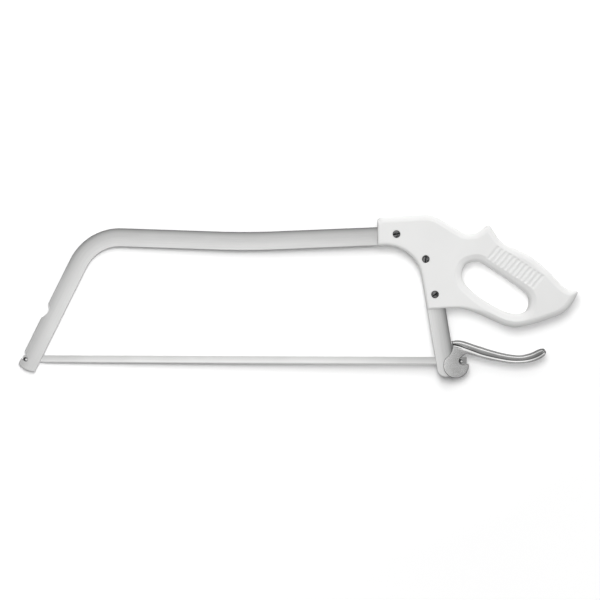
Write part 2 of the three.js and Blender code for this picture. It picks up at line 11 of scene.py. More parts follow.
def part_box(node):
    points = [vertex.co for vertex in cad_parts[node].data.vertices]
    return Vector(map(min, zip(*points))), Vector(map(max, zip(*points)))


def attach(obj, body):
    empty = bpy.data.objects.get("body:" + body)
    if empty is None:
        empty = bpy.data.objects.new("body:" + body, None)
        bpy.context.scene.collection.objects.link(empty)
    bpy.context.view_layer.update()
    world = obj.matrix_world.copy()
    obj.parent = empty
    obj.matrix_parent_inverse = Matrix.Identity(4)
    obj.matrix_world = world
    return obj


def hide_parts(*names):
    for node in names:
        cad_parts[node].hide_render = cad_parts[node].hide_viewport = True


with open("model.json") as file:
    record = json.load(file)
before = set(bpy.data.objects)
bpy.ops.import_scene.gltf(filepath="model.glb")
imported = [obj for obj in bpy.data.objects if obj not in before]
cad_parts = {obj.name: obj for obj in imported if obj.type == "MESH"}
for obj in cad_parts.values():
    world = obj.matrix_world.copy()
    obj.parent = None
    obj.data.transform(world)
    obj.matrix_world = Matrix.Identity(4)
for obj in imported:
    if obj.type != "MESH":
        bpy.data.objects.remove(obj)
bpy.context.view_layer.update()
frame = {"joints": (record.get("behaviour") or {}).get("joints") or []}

# The bow: one flat stainless bar, 21 by 6 mm, bent cold into a front leg, a back bar and a rear leg.
# Its faces are slightly crowned and brushed along the bar. Both ends are slit for the blade, and the
# front end has a hook for the blade's pin and a shallow notch to hang the saw by.

MM = 0.001
joint_at = {joint["name"]: Vector(joint["pos_m"]) for joint in frame["joints"]}
front_pin = joint_at["blade_swing"].to_2d()
pivot = joint_at["lever_swing"].to_2d()
mid_height = joint_at["blade_swing"].z
bow_low, bow_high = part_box("frame_bow")
BAR_WIDTH = 21 * MM
HALF_BAR = BAR_WIDTH / 2
BAR_THICKNESS = bow_high[2] - bow_low[2]
BAR_CROWN = 0.6 * MM
BAR_EDGE = 0.45 * MM
BEND_RADIUS = 53 * MM
SAG_RADIUS = 900 * MM
BEND_STEPS = 28
SAG_FROM_PIN = Vector((253, 136.1)) * MM
FRONT_LEAN = 26.1
REAR_LEAN = 9.7
FRONT_SLOPE = -1.67
REAR_SLOPE = 2.59
FRONT_PIN_OFFSET = 5.25 * MM
FRONT_END = 7.9 * MM
FRONT_END_BULGE = 2.49 * MM
REAR_END = 14.8 * MM
REAR_END_ROUND = HALF_BAR + 0.05 * MM
REAR_PIVOT_OFFSET = 4.15 * MM
SPARE = 14 * MM
PIN_RADIUS = 1.75 * MM
FIT = 0.3 * MM
HOOK_RADIUS = PIN_RADIUS + 3 * FIT
HOOK_WALLS = (112, 142)
HOOK_REACH = 16 * MM
HANG_HEIGHT = 63 * MM
HANG_ABOVE = 5.8 * MM
HANG_BELOW = 12.4 * MM
HANG_DEPTH = 4.1 * MM
SLIT_HALF = 0.75 * MM
FRONT_SLIT_DEPTH = 15 * MM
REAR_SLIT_DEPTH = 12 * MM


def heading(degrees):
    """Unit vector in the saw's plane, its angle counted from +X."""
    return Vector((math.cos(math.radians(degrees)), math.sin(math.radians(degrees))))


def left_of(way):
    """The direction a quarter turn to the left of another."""
    return Vector((-way.y, way.x))


def meet(first, first_way, second, second_way):
    """Where two lines in the saw's plane cross."""
    return first + first_way * ((second - first).cross(second_way) / first_way.cross(second_way))


def bend(before, corner, after, radius):
    """The arc that rounds one corner of the bar's centreline: centre, first angle and turn."""
    arriving = (corner - before).normalized()
    leaving = (after - corner).normalized()
    turn = math.atan2(arriving.cross(leaving), arriving.dot(leaving))
    start = corner - arriving * radius * math.tan(abs(turn) / 2)
    centre = start + left_of(arriving) * math.copysign(radius, turn)
    first = math.atan2(start.y - centre.y, start.x - centre.x)
    return centre, first, turn


def bent_path(corners, radii):
    """Points and headings along a centreline with rounded corners."""
    path = [(corners[0], (corners[1] - corners[0]).normalized())]
    for index, radius in enumerate(radii):
        centre, first, turn = bend(*corners[index:index + 3], radius)
        side = math.copysign(1, turn)
        for step in range(BEND_STEPS + 1):
            angle = first + turn * step / BEND_STEPS
            spoke = Vector((math.cos(angle), math.sin(angle)))
            path.append((centre + spoke * radius, left_of(spoke) * side))
    path.append((corners[-1], (corners[-1] - corners[-2]).normalized()))
    return path


front_way = heading(90 - FRONT_LEAN)
rear_way = heading(REAR_LEAN - 90)
front_foot = front_pin - left_of(front_way) * FRONT_PIN_OFFSET
rear_foot = pivot - left_of(rear_way) * REAR_PIVOT_OFFSET
sag = front_pin + SAG_FROM_PIN
front_corner = meet(front_foot, front_way, sag, heading(FRONT_SLOPE))
rear_corner = meet(rear_foot, rear_way, sag, heading(REAR_SLOPE))
front_stock = front_foot - front_way * (FRONT_END + SPARE)
rear_stock = rear_foot + rear_way * (REAR_END + SPARE)
bow_path = bent_path([front_stock, front_corner, sag, rear_corner, rear_stock],
                     [BEND_RADIUS, SAG_RADIUS, BEND_RADIUS])


def shade(piece, sharp):
    """Smooth shading, except across edges sharper than an angle in degrees."""
    piece.data.polygons.foreach_set("use_smooth", [True] * len(piece.data.polygons))
    piece.data.set_sharp_from_angle(angle=math.radians(sharp))


def mesh_object(name, made, sharp=32):
    """A new object from a bmesh, shaded smooth except across sharp edges."""
    bmesh.ops.recalc_face_normals(made, faces=made.faces)
    mesh = bpy.data.meshes.new(name)
    made.to_mesh(mesh)
    made.free()
    piece = bpy.data.objects.new(name, mesh)
    bpy.context.scene.collection.objects.link(piece)
    shade(piece, sharp)
    return piece


def skin(made, rings, closed=True):
    """Joins rings of points into a tube and caps its two ends."""
    loops = [[made.verts.new(place) for place in ring] for ring in rings]
    count = len(loops[0])
    for here, there in zip(loops, loops[1:]):
        for index in range(count):
            after = (index + 1) % count
            made.faces.new((here[index], here[after], there[after], there[index]))
    if closed:
        made.faces.new(loops[0][::-1])
        made.faces.new(loops[-1])
    return loops


def prism(name, outline, low, high):
    """A plain upright block on a flat outline, used to cut other pieces."""
    made = bmesh.new()
    skin(made, [[(*place, height) for place in outline] for height in (low, high)])
    return mesh_object(name, made)


def carve(piece, cutters, sharp=32):
    """Cuts the given blocks out of a piece for good."""
    for cutter in cutters:
        cut = piece.modifiers.new(cutter.name, "BOOLEAN")
        cut.operation = "DIFFERENCE"
        cut.solver = "EXACT"
        cut.object = cutter
    shaped = piece.evaluated_get(bpy.context.evaluated_depsgraph_get())
    mesh = bpy.data.meshes.new_from_object(shaped)
    piece.modifiers.clear()
    piece.data = mesh
    mesh.materials.clear()
    for cutter in cutters:
        bpy.data.objects.remove(cutter)
    shade(piece, sharp)


def crowned(across):
    """Height of the bar's face above its middle, at a distance across from the centreline."""
    return BAR_THICKNESS / 2 - BAR_CROWN * (across / HALF_BAR) ** 2


def bar_section():
    """The bar's crowned cross-section as (across, up), counter-clockwise."""
    flat = HALF_BAR - BAR_EDGE
    top = [(flat * (1 - step / 6), crowned(flat * (1 - step / 6))) for step in range(13)]
    edge = []
    for step in range(1, 8):
        angle = math.pi / 2 - math.pi * step / 8
        edge.append((-flat - BAR_EDGE * math.cos(angle), crowned(flat) * math.sin(angle)))
    half = top + edge
    return half + [(-across, -up) for across, up in half]


def bent_bar():
    """The bar before its ends are cut, with a map of each point's run along it and place across it."""
    made = bmesh.new()
    section = bar_section()
    runs = [0.0]
    for (before, _), (here, _) in zip(bow_path, bow_path[1:]):
        runs.append(runs[-1] + (here - before).length)
    rings = [[(*(place + left_of(way) * across), mid_height + up) for across, up in section]
             for place, way in bow_path]
    loops = skin(made, rings)
    grain = made.loops.layers.uv.new("grain")
    spot = {}
    for run, loop in zip(runs, loops):
        for vertex, (across, _) in zip(loop, section):
            spot[vertex] = (run, across)
    for face in made.faces:
        for corner in face.loops:
            corner[grain].uv = spot[corner.vert]
    return mesh_object("bow_bar", made)


def bar_cutter(name, outline):
    """A block that cuts through the whole thickness of the bar."""
    return prism(name, outline, mid_height - BAR_THICKNESS, mid_height + BAR_THICKNESS)


def end_cut(name, foot, way, end_curve):
    """The stock beyond a leg's shaped end; the curve is (across, beyond) from one edge to the other."""
    beyond_all = SPARE * 3
    reach = BAR_WIDTH
    rim = [(-reach, end_curve[0][1]), *end_curve, (reach, end_curve[-1][1]), (reach, beyond_all),
           (-reach, beyond_all)]
    return bar_cutter(name, [foot + left_of(way) * across + way * beyond for across, beyond in rim])


def mouth(centre, radius, walls, reach):
    """A notch with a round inner end; its two walls leave in the given directions, in degrees."""
    first, second = walls
    start, stop = second + 90, first + 270
    outline = [centre + heading(start + (stop - start) * step / 16) * radius for step in range(17)]
    outline.append(outline[-1] + heading(first) * reach)
    outline.append(outline[0] + heading(second) * reach)
    return outline


def hang_notch():
    """The shallow curved notch in the front leg's outer edge, as a cutter's outline."""
    outward = left_of(front_way)
    middle = front_foot + front_way * HANG_HEIGHT + outward * HALF_BAR
    top = middle + front_way * HANG_ABOVE
    foot = middle - front_way * HANG_BELOW
    deep = middle - outward * 2 * HANG_DEPTH
    curve = [top.lerp(deep, share).lerp(deep.lerp(foot, share), share) for share in np.linspace(0, 1, 17)]
    return curve + [foot + outward * BAR_WIDTH, top + outward * BAR_WIDTH]


def slit(name, foot, way, depth):
    """The sawn slit that takes the blade, from beyond a leg's end to a depth past its foot."""
    reach = left_of(way) * BAR_WIDTH
    outline = [foot + reach - way * 4 * SPARE, foot - reach - way * 4 * SPARE,
               foot - reach + way * depth, foot + reach + way * depth]
    return prism(name, outline, mid_height - SLIT_HALF, mid_height + SLIT_HALF)


bow = bent_bar()
front_curve = [(HALF_BAR * share, FRONT_END + FRONT_END_BULGE * (1 - share ** 2))
               for share in np.linspace(-1.3, 1.3, 18)]
rear_curve = [(REAR_END_ROUND * math.sin(turn), REAR_END - REAR_END_ROUND + REAR_END_ROUND * math.cos(turn))
              for turn in np.linspace(-math.pi / 2, math.pi / 2, 25)]
carve(bow, [
    end_cut("front_end", front_foot, -front_way, front_curve),
    end_cut("rear_end", rear_foot, rear_way, rear_curve),
    bar_cutter("hook", mouth(front_pin, HOOK_RADIUS, HOOK_WALLS, HOOK_REACH)),
    bar_cutter("hang", hang_notch()),
    slit("front_slit", front_foot, front_way, FRONT_SLIT_DEPTH),
    slit("rear_slit", rear_foot, -rear_way, REAR_SLIT_DEPTH),
])


class Wire:
    """One socket of a material. Sums, differences and products of wires add Math nodes."""

    def __init__(self, tree, socket=None):
        self.tree = tree
        self.socket = socket

    def node(self, kind, settings=None, inputs=None, output=0):
        """Adds a node with its settings, values and links, and gives one of its outputs."""
        made = self.tree.nodes.new(kind)
        for name, value in (settings or {}).items():
            if name == "stops":
                while len(made.color_ramp.elements) < len(value):
                    made.color_ramp.elements.new(1.0)
                for element, (place, tone) in zip(made.color_ramp.elements, value):
                    element.position = place
                    element.color = (tone, tone, tone, 1)
            else:
                setattr(made, name, value)
        for name, value in (inputs or {}).items():
            if isinstance(value, Wire):
                self.tree.links.new(value.socket, made.inputs[name])
            else:
                made.inputs[name].default_value = value
        return Wire(self.tree, made.outputs[output] if made.outputs else None)

    def math(self, operation, *values):
        return self.node("ShaderNodeMath", {"operation": operation}, dict(enumerate(values)))

    def __add__(self, other):
        return self.math("ADD", self, other)

    def __sub__(self, other):
        return self.math("SUBTRACT", self, other)

    def __rsub__(self, other):
        return self.math("SUBTRACT", other, self)

    def __mul__(self, other):
        return self.math("MULTIPLY", self, other)

    def __abs__(self):
        return self.math("ABSOLUTE", self)

    __radd__ = __add__

    def axis(self, number):
        """One coordinate of a vector: 0 for X, 1 for Y and 2 for Z."""
        return self.node("ShaderNodeSeparateXYZ", {}, {"Vector": self}, number)

    def between(self, low, high):
        """Brings a value that runs from low to high to the span 0 to 1, held there."""
        return self.node("ShaderNodeMapRange", {"clamp": True}, {
            "Value": self, "From Min": low, "From Max": high})

    def tint(self, first, second):
        """A colour between two, by this wire; each is a wire or three numbers."""
        first, second = (tone if isinstance(tone, Wire) else (*tone, 1) for tone in (first, second))
        # Inputs 6 and 7 and output 2 are the node's sockets for colours.
        return self.node("ShaderNodeMix", {"data_type": "RGBA"}, {0: self, 6: first, 7: second}, 2)


def new_finish(name):
    """A bare material and a wire to add its nodes by."""
    material = bpy.data.materials.new(name)
    material.use_nodes = True
    material.node_tree.nodes.clear()
    return material, Wire(material.node_tree)


def principled(wire, **sockets):
    """The surface shader, with sockets named as Blender names them, and the material's output."""
    inputs = {name.replace("_", " "): value for name, value in sockets.items()}
    surface = wire.node("ShaderNodeBsdfPrincipled", {}, inputs)
    wire.node("ShaderNodeOutputMaterial", {}, {"Surface": surface})


def object_place(wire):
    """Where a point lies in the saw's own frame, in metres."""
    return wire.node("ShaderNodeTexCoord", output="Object")


def noise(wire, place, scale, detail=3.0, roughness=0.5):
    return wire.node("ShaderNodeTexNoise", {}, {
        "Vector": place, "Scale": scale, "Detail": detail, "Roughness": roughness})


def stretch(wire, place, factors):
    return wire.node("ShaderNodeVectorMath", {"operation": "MULTIPLY"}, {0: place, 1: factors})


def bumped(wire, height, strength, distance):
    """A normal that follows a fine relief."""
    return wire.node("ShaderNodeBump", {}, {"Height": height, "Strength": strength, "Distance": distance})


def facing(wire):
    """How squarely a surface faces out of the saw's flat side, 1 on the faces and 0 on the edges."""
    return abs(wire.node("ShaderNodeTexCoord", output="Normal").axis(2))


def satin_bar():
    """Stainless brushed along the bar: long fine lines and soft cloudy patches, with painted light and shade
    on its edges, dark on the outer side and pale on the inner side.

    The back bar and the rear leg are also painted darker towards their outer edge, as shade.
    """
    material, wire = new_finish("satin_bar")
    grain = wire.node("ShaderNodeUVMap", {"uv_map": "grain"})
    run, across = grain.axis(0), grain.axis(1)
    fine = noise(wire, stretch(wire, grain, (60.0, 5200.0, 0.0)), 1.0, 4.0, 0.6)
    broad = noise(wire, stretch(wire, grain, (14.0, 900.0, 0.0)), 1.0)
    cloud = noise(wire, object_place(wire), 26.0, 4.0)
    tone = fine.between(0.3, 0.7) * 0.45 + broad.between(0.3, 0.7) * 0.35 + cloud.between(0.3, 0.7) * 0.2
    # Painted shade: the back bar and the rear leg darken towards their outer edge.
    outward = across.between(3 * MM, 10.6 * MM)
    past_front_leg = run.between(120 * MM, 170 * MM) * 0.95 + 0.05
    outer_side_shade = outward * outward * past_front_leg
    steel = outer_side_shade.tint(tone.tint((0.64, 0.64, 0.635), (0.76, 0.76, 0.755)), (0.22, 0.22, 0.22))
    # Painted light and shade on the rounded edges and cut ends: dark on the outer side, pale on the inner
    # side.
    inner_edge = across.between(4 * MM, -4 * MM)
    edge = inner_edge.tint((0.17, 0.17, 0.17), (0.80, 0.80, 0.80))
    # The faces keep the brushed steel; the edges take the painted edge light and shade.
    brushed = facing(wire).between(0.55, 0.85)
    principled(wire, Base_Color=brushed.tint(edge, steel), Metallic=1.0,
               Roughness=0.27 + fine * 0.12 + cloud * 0.08,
               Normal=bumped(wire, fine * 0.6 + broad * 0.4, 0.25, 0.04 * MM))
    return material


bow.data.materials.append(satin_bar())
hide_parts("frame_bow")
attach(bow, "frame")

# The handle: one white plastic moulding with a closed hand hole, a thumb horn and a pointed tail.
# All its edges are rounded, its grip has a row of moulded ridges on both faces, and the bar lies in a
# slot along its concave front edge.

handle_low, handle_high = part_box("handle")
HANDLE_HALF = (handle_high[2] - handle_low[2]) / 2
OUTER_BEVEL, OUTER_ROUND = 6.5 * MM, 4.5 * MM
HOLE_BEVEL, HOLE_ROUND = 8.5 * MM, 4.0 * MM
BEVEL_SLOPE = math.tan(math.radians(18))
BEVEL_START = 45 * MM
CONCAVE_ROUND = 3.2 * MM
HANDLE_FRONT_ROUND = 2.5 * MM
HANDLE_LEAD = 7.25 * MM
HANDLE_FRONT_TOP_MM = 19.4
HANDLE_BOTTOM = 84.5 * MM
HANDLE_LIP = 0.2 * MM
GRIP_MIDDLE = Vector((105.0, -37.3)) * MM
GRIP_ROW, GRIP_LEAN = -32.8, 50.6
GRIP_PITCH = 5.5 * MM
GRIP_DEPTH = 0.8 * MM
GRIP_LENGTH = 20 * MM
GRIP_END = 1.6 * MM
GRIP_RIDGES = 11
HANDLE_SHARP = 50

# The net of points on its faces: rings along the rims, sparse rows on the flat and dense rows on the grip.
OUTLINE_SPACING = 1.3 * MM
ROUND_TURNS = (11, 22, 34, 46, 58, 74, 90)
BEVEL_STEPS = (-1.2 * MM, -0.4 * MM, 0.0, 0.4 * MM, 1.2 * MM)
RIM_SLACK = 0.97
FLAT_SPACING = 3.2 * MM
FLAT_FROM_RIM = HOLE_BEVEL + 2.4 * MM
GRIP_SPACING = 0.62 * MM
GRIP_FROM_RIM = 0.5 * MM
GRIP_BOX_HALF = 32 * MM
GRIP_ROWS_REACH = (34 * MM, 11 * MM)
RINGS_STAY_OFF = (33 * MM, 10.5 * MM)
FLAT_STAYS_OFF = (35 * MM, 12 * MM)


def even(places, spacing):
    """The same line with its points a steady distance apart."""
    steps = [0.0]
    for here, there in zip(places, places[1:]):
        steps.append(steps[-1] + (there - here).length)
    count = max(2, round(steps[-1] / spacing))
    wanted = np.linspace(0, steps[-1], count + 1)
    return [Vector((np.interp(run, steps, [place.x for place in places]),
                    np.interp(run, steps, [place.y for place in places]))) for run in wanted]


def smooth_run(places, spacing):
    """Evenly spaced points on a smooth curve through given ones, in mm from the rear bend's corner."""
    knots = [rear_corner + Vector(place) * MM for place in places]
    fine = []
    for index in range(len(knots) - 1):
        before = knots[max(index - 1, 0)]
        first, second = knots[index], knots[index + 1]
        after = knots[min(index + 2, len(knots) - 1)]
        lean_in, lean_out = (second - before) / 2, (after - first) / 2
        for share in np.linspace(0, 1, 24, endpoint=False):
            square, cube = share ** 2, share ** 3
            fine.append(first * (2 * cube - 3 * square + 1) + lean_in * (cube - 2 * square + share)
                        + second * (3 * square - 2 * cube) + lean_out * (cube - square))
    fine.append(knots[-1])
    return even(fine, spacing)


def handle_outline():
    """The handle's outer edge, counter-clockwise, and the runs of it that are its front face and its foot."""
    bend_reach = BEND_RADIUS * math.tan(math.radians(90 - REAR_LEAN + REAR_SLOPE) / 2)
    bar_front = rear_corner - heading(REAR_SLOPE) * (bend_reach + HANDLE_LEAD)
    bar_foot = meet(Vector((0, rear_corner.y - HANDLE_BOTTOM)), Vector((1, 0)), rear_foot, rear_way)
    concave = [place - left_of(way) * (HALF_BAR + HANDLE_LIP)
               for place, way in bent_path([bar_front, rear_corner, bar_foot], [BEND_RADIUS])]
    front_top = (concave[0].x + HANDLE_FRONT_ROUND - rear_corner.x) / MM
    back = smooth_run([
        (front_top, HANDLE_FRONT_TOP_MM), (-28, 20.5), (-4.5, 22.05), (6, 22.1), (18.5, 17.2), (36, 6.9),
        (45, 1.8), (51, 0.7), (59, 1.9), (65, 5.1), (70.2, 8.9), (73.2, 11), (76, 9.3), (80.5, 2.4),
        (86.5, -5.9), (94, -12), (105, -16.4), (122, -24.8), (134, -33.8), (145, -43.6), (153, -52.6),
        (160, -59.2), (167, -62.9), (175.2, -64.3),
    ], OUTLINE_SPACING)
    belly = smooth_run([
        (176.6, -66.2), (173.5, -72.6), (169, -80.2), (163, -87), (156, -91.7), (146, -95.7), (125, -102.7),
        (107.2, -106.3), (97, -105.3), (89, -102.7), (66, -92.4), (54, -87.8), (42.5, -85), (30, -84.4),
    ], OUTLINE_SPACING)
    front = even([Vector((concave[0].x, back[0].y - HANDLE_FRONT_ROUND)), concave[0]], OUTLINE_SPACING)
    concave = even(concave, OUTLINE_SPACING)
    foot = even([concave[-1], belly[-1]], OUTLINE_SPACING)
    around = front + concave[1:] + foot[1:-1] + belly[::-1] + back[::-1]
    foot_start = len(front) + len(concave) - 2
    return np.array(around), (0, len(front)), (foot_start, foot_start + len(foot))


def hand_hole():
    """The hand hole's edge, clockwise."""
    return np.array(smooth_run([
        (47.1, -35.6), (51.8, -32.7), (58.8, -31.2), (66, -32.6), (83.4, -43.3), (104.6, -57.7), (115.5, -66),
        (119.5, -71.1), (120.9, -76.9), (119, -85), (113.5, -89.9), (103, -90.7), (88, -86.1), (65, -72.8),
        (50, -59.8), (45.2, -53.3), (43.6, -46.8), (44.6, -40.6), (47.1, -35.6),
    ], OUTLINE_SPACING)[1:])


def edge_distance(places, line):
    """Distance from each place to a line of points, as arrays."""
    nearest = np.full(len(places), 1.0)
    for start, stop in zip(line, line[1:]):
        edge = stop - start
        length = max(float(edge @ edge), 1e-18)
        share = np.clip((places - start) @ edge / length, 0, 1)
        nearest = np.minimum(nearest, np.linalg.norm(places - start - share[:, None] * edge, axis=1))
    return nearest


def inside(places, loop):
    """Whether each place lies inside a closed loop."""
    within = np.zeros(len(places), bool)
    for start, stop in zip(loop, np.roll(loop, -1, axis=0)):
        spans = (start[1] > places[:, 1]) != (stop[1] > places[:, 1])
        rise = (stop[1] - start[1]) or 1e-12
        crossing = (stop[0] - start[0]) * (places[:, 1] - start[1]) / rise + start[0]
        within ^= spans & (places[:, 0] < crossing)
    return within


def grid(low, high, spacing):
    """Places in square rows that fill a box."""
    across, along = np.meshgrid(np.arange(low[0], high[0], spacing), np.arange(low[1], high[1], spacing))
    return np.column_stack([across.ravel(), along.ravel()])


def fillet(distance, radius, bevel=0.0):
    """Drop of a rounded edge, with a bevel inside it, below its face at a distance in from the rim."""
    short = np.clip(radius - distance, 0, radius)
    return radius - np.sqrt(radius ** 2 - short ** 2) + np.clip(bevel - distance, 0, None) * BEVEL_SLOPE


def grip_frame(places):
    """Places measured along the row of grip ridges and along one ridge."""
    away = places - np.array(rear_corner + GRIP_MIDDLE)
    row, ridge = heading(GRIP_ROW), heading(GRIP_LEAN)
    skew = row.cross(ridge)
    along_row = (away[:, 0] * ridge.y - away[:, 1] * ridge.x) / skew
    along_ridge = (away[:, 1] * row.x - away[:, 0] * row.y) / skew
    return along_row, along_ridge


def on_grip(places, reach):
    """Whether each place lies on the grip, out to a reach along the row of ridges and along one ridge."""
    along_row, along_ridge = grip_frame(places)
    return (np.abs(along_row) < reach[0]) & (np.abs(along_ridge) < reach[1])


def grip_drop(places):
    """Depth of the valleys between the grip ridges, which run out at the ridges' ends."""
    along_row, along_ridge = grip_frame(places)
    from_end = np.clip((GRIP_LENGTH / 2 - np.abs(along_ridge)) / GRIP_END, 0, 1)
    ends = from_end ** 2 * (3 - 2 * from_end)
    sides = np.abs(along_row) < (GRIP_RIDGES + 1) / 2 * GRIP_PITCH
    return GRIP_DEPTH * (0.5 - 0.5 * np.cos(2 * math.pi * along_row / GRIP_PITCH)) * ends * sides


def face_points(outer, hole, from_rims):
    """Points for the handle's faces inside their rims; from_rims measures how far in a place is."""
    rings = []
    for loop, radius, bevel in ((outer, OUTER_ROUND, OUTER_BEVEL), (hole, HOLE_ROUND, HOLE_BEVEL)):
        ways = np.roll(loop, -1, axis=0) - np.roll(loop, 1, axis=0)
        inward = np.column_stack([-ways[:, 1], ways[:, 0]]) / np.linalg.norm(ways, axis=1)[:, None]
        insets = [radius * (1 - math.cos(turn)) for turn in np.radians(ROUND_TURNS)]
        insets += [bevel + step for step in BEVEL_STEPS]
        for inset in insets:
            ring = loop + inward * inset
            ring = ring[from_rims(ring) > RIM_SLACK * inset]
            rings.append(ring[~on_grip(ring, RINGS_STAY_OFF)])
    flat = grid(outer.min(axis=0), outer.max(axis=0), FLAT_SPACING)
    flat = flat[~on_grip(flat, FLAT_STAYS_OFF)]
    middle = np.array(rear_corner + GRIP_MIDDLE)
    grip = grid(middle - GRIP_BOX_HALF, middle + GRIP_BOX_HALF, GRIP_SPACING)
    grip = grip[on_grip(grip, GRIP_ROWS_REACH)]
    return [*rings, flat[from_rims(flat) > FLAT_FROM_RIM], grip[from_rims(grip) > GRIP_FROM_RIM]]


def handle_body():
    """The whole moulding: two alike faces, nets of points that drop towards their rims, and the walls."""
    outer, front_run, foot_run = handle_outline()
    hole = hand_hole()
    around, hole_line = (np.vstack([loop, loop[:1]]) for loop in (outer, hole))
    front_line, foot_line = (outer[slice(*run)] for run in (front_run, foot_run))
    concave_line, back_line = outer[front_run[1] - 1:foot_run[0] + 1], around[foot_run[1] - 1:]

    def from_rims(places):
        return np.minimum(edge_distance(places, around), edge_distance(places, hole_line))

    places = np.vstack([outer, hole, *face_points(outer, hole, from_rims)])
    edges = [(index, (index + 1) % len(outer)) for index in range(len(outer))]
    edges += [(len(outer) + index, len(outer) + (index + 1) % len(hole)) for index in range(len(hole))]
    spots, _, faces, *_ = delaunay_2d_cdt([Vector(place) for place in places], edges, [], 0, 1e-7)
    spots = np.array([tuple(spot) for spot in spots])
    centres = np.array([spots[list(face)].mean(axis=0) for face in faces])
    kept = inside(centres, outer) & ~inside(centres, hole)

    from_foot = np.clip(edge_distance(spots, foot_line) / BEVEL_START, 0, 1)
    back_round = HANDLE_FRONT_ROUND + (OUTER_ROUND - HANDLE_FRONT_ROUND) * from_foot
    rims = ((back_line, back_round, OUTER_BEVEL * from_foot), (hole_line, HOLE_ROUND, HOLE_BEVEL),
            (concave_line, CONCAVE_ROUND, 0), (front_line, HANDLE_FRONT_ROUND, 0),
            (foot_line, HANDLE_FRONT_ROUND, 0))
    drop = np.max([fillet(edge_distance(spots, line), radius, bevel) for line, radius, bevel in rims], axis=0)
    drop += grip_drop(spots)

    made = bmesh.new()
    tops = [made.verts.new((*spot, mid_height + HANDLE_HALF - fall)) for spot, fall in zip(spots, drop)]
    bottoms = [made.verts.new((*spot, mid_height - HANDLE_HALF + fall)) for spot, fall in zip(spots, drop)]
    for face, keep in zip(faces, kept):
        if keep:
            made.faces.new([tops[index] for index in face])
            made.faces.new([bottoms[index] for index in reversed(face)])
    for first, second in edges:
        made.faces.new((tops[second], tops[first], bottoms[first], bottoms[second]))
    loose = [vertex for vertex in made.verts if not vertex.link_faces]
    bmesh.ops.delete(made, geom=loose, context="VERTS")
    return mesh_object("handle_moulding", made, HANDLE_SHARP)


def round_outline(centre, radius, count=32):
    """Places on a circle, counter-clockwise."""
    return [centre + heading(360 * index / count) * radius for index in range(count)]


def middle_of(low, high):
    """The middle of a box in the saw's plane."""
    return Vector(((low[0] + high[0]) / 2, (low[1] + high[1]) / 2))


handle = handle_body()
screw_at = {}
for end in ("front", "middle", "low"):
    low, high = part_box(f"handle_screw_{end}")
    screw_at[end] = middle_of(low, high)
HEAD_RADIUS = (high[0] - low[0]) / 2
HEAD_HEIGHT = 2.2 * MM
HEAD_SINK = 0.2 * MM
SLOT_OVERCUT = 2 * MM
slot_outline = [place + left_of(way) * (HALF_BAR + FIT) for place, way in bow_path]
slot_outline += [place - left_of(way) * (HALF_BAR + SLOT_OVERCUT) for place, way in reversed(bow_path)]
slot_half = BAR_THICKNESS / 2 + FIT
handle_cuts = [prism("bar_slot", slot_outline, mid_height - slot_half, mid_height + slot_half)]
recess = HEAD_HEIGHT + HEAD_SINK + FIT
for end, at in screw_at.items():
    for side in (-1, 1):
        face = mid_height + side * HANDLE_HALF
        rim = round_outline(at, HEAD_RADIUS + FIT)
        handle_cuts.append(prism(f"{end}_recess", rim, face - recess, face + recess))
carve(handle, handle_cuts, HANDLE_SHARP)


def white_moulding():
    """Satin white plastic: a faint cloudy tone, a fine moulded grain and slightly glossier worn patches."""
    material, wire = new_finish("white_moulding")
    place = object_place(wire)
    cloud = noise(wire, place, 18.0, 4.0)
    grain = noise(wire, place, 2600.0, 2.0)
    tone = cloud.between(0.3, 0.7) * 0.7 + grain.between(0.3, 0.7) * 0.3
    principled(wire, Base_Color=tone.tint((0.685, 0.685, 0.68), (0.72, 0.72, 0.715)), IOR=1.49,
               Roughness=0.40 + cloud * 0.08 + grain * 0.08, Normal=bumped(wire, grain, 0.12, 0.03 * MM))
    return material


handle.data.materials.append(white_moulding())
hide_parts("handle")
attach(handle, "frame")

# The handle screws and sleeve nuts: three slotted steel screws from one face, each turned into a slotted
# sleeve nut from the other. They are oxidised dark, with bare metal showing at the rubbed rims and slots.

HEAD_RIM = 0.55 * MM
HEAD_DOME = 0.12 * MM
DRIVER_SLOT_HALF = 0.65 * MM
DRIVER_SLOT_DEPTH = 1.1 * MM
SHANK_RADIUS, SHANK_LENGTH = 1.8 * MM, 17 * MM
SLEEVE_RADIUS, SLEEVE_LENGTH = 3 * MM, 19 * MM
AXIS_RADIUS = 0.05 * MM
TURNED_SIDES = 40


def turned(name, profile, at):
    """A piece turned about an upright axis from (radius, height) pairs, end to end."""
    made = bmesh.new()
    skin(made, [[(*place, height) for place in round_outline(at, radius, TURNED_SIDES)]
                for radius, height in profile])
    return mesh_object(name, made)


def head_profile(face, side, seat_radius, reach):
    """A cheese head with a rounded, faintly domed top, and the shank or sleeve under it."""
    flat = HEAD_RADIUS - HEAD_RIM
    profile = [(AXIS_RADIUS, face), (HEAD_RADIUS * 0.45, face - side * HEAD_DOME * 0.3),
               (flat, face - side * HEAD_DOME)]
    for turn in np.radians((30, 60, 90)):
        fall = HEAD_DOME + HEAD_RIM * (1 - math.cos(turn))
        profile.append((flat + HEAD_RIM * math.sin(turn), face - side * fall))
    seat = face - side * HEAD_HEIGHT
    return profile + [(HEAD_RADIUS, seat), (seat_radius, seat), (seat_radius, seat - side * reach)]


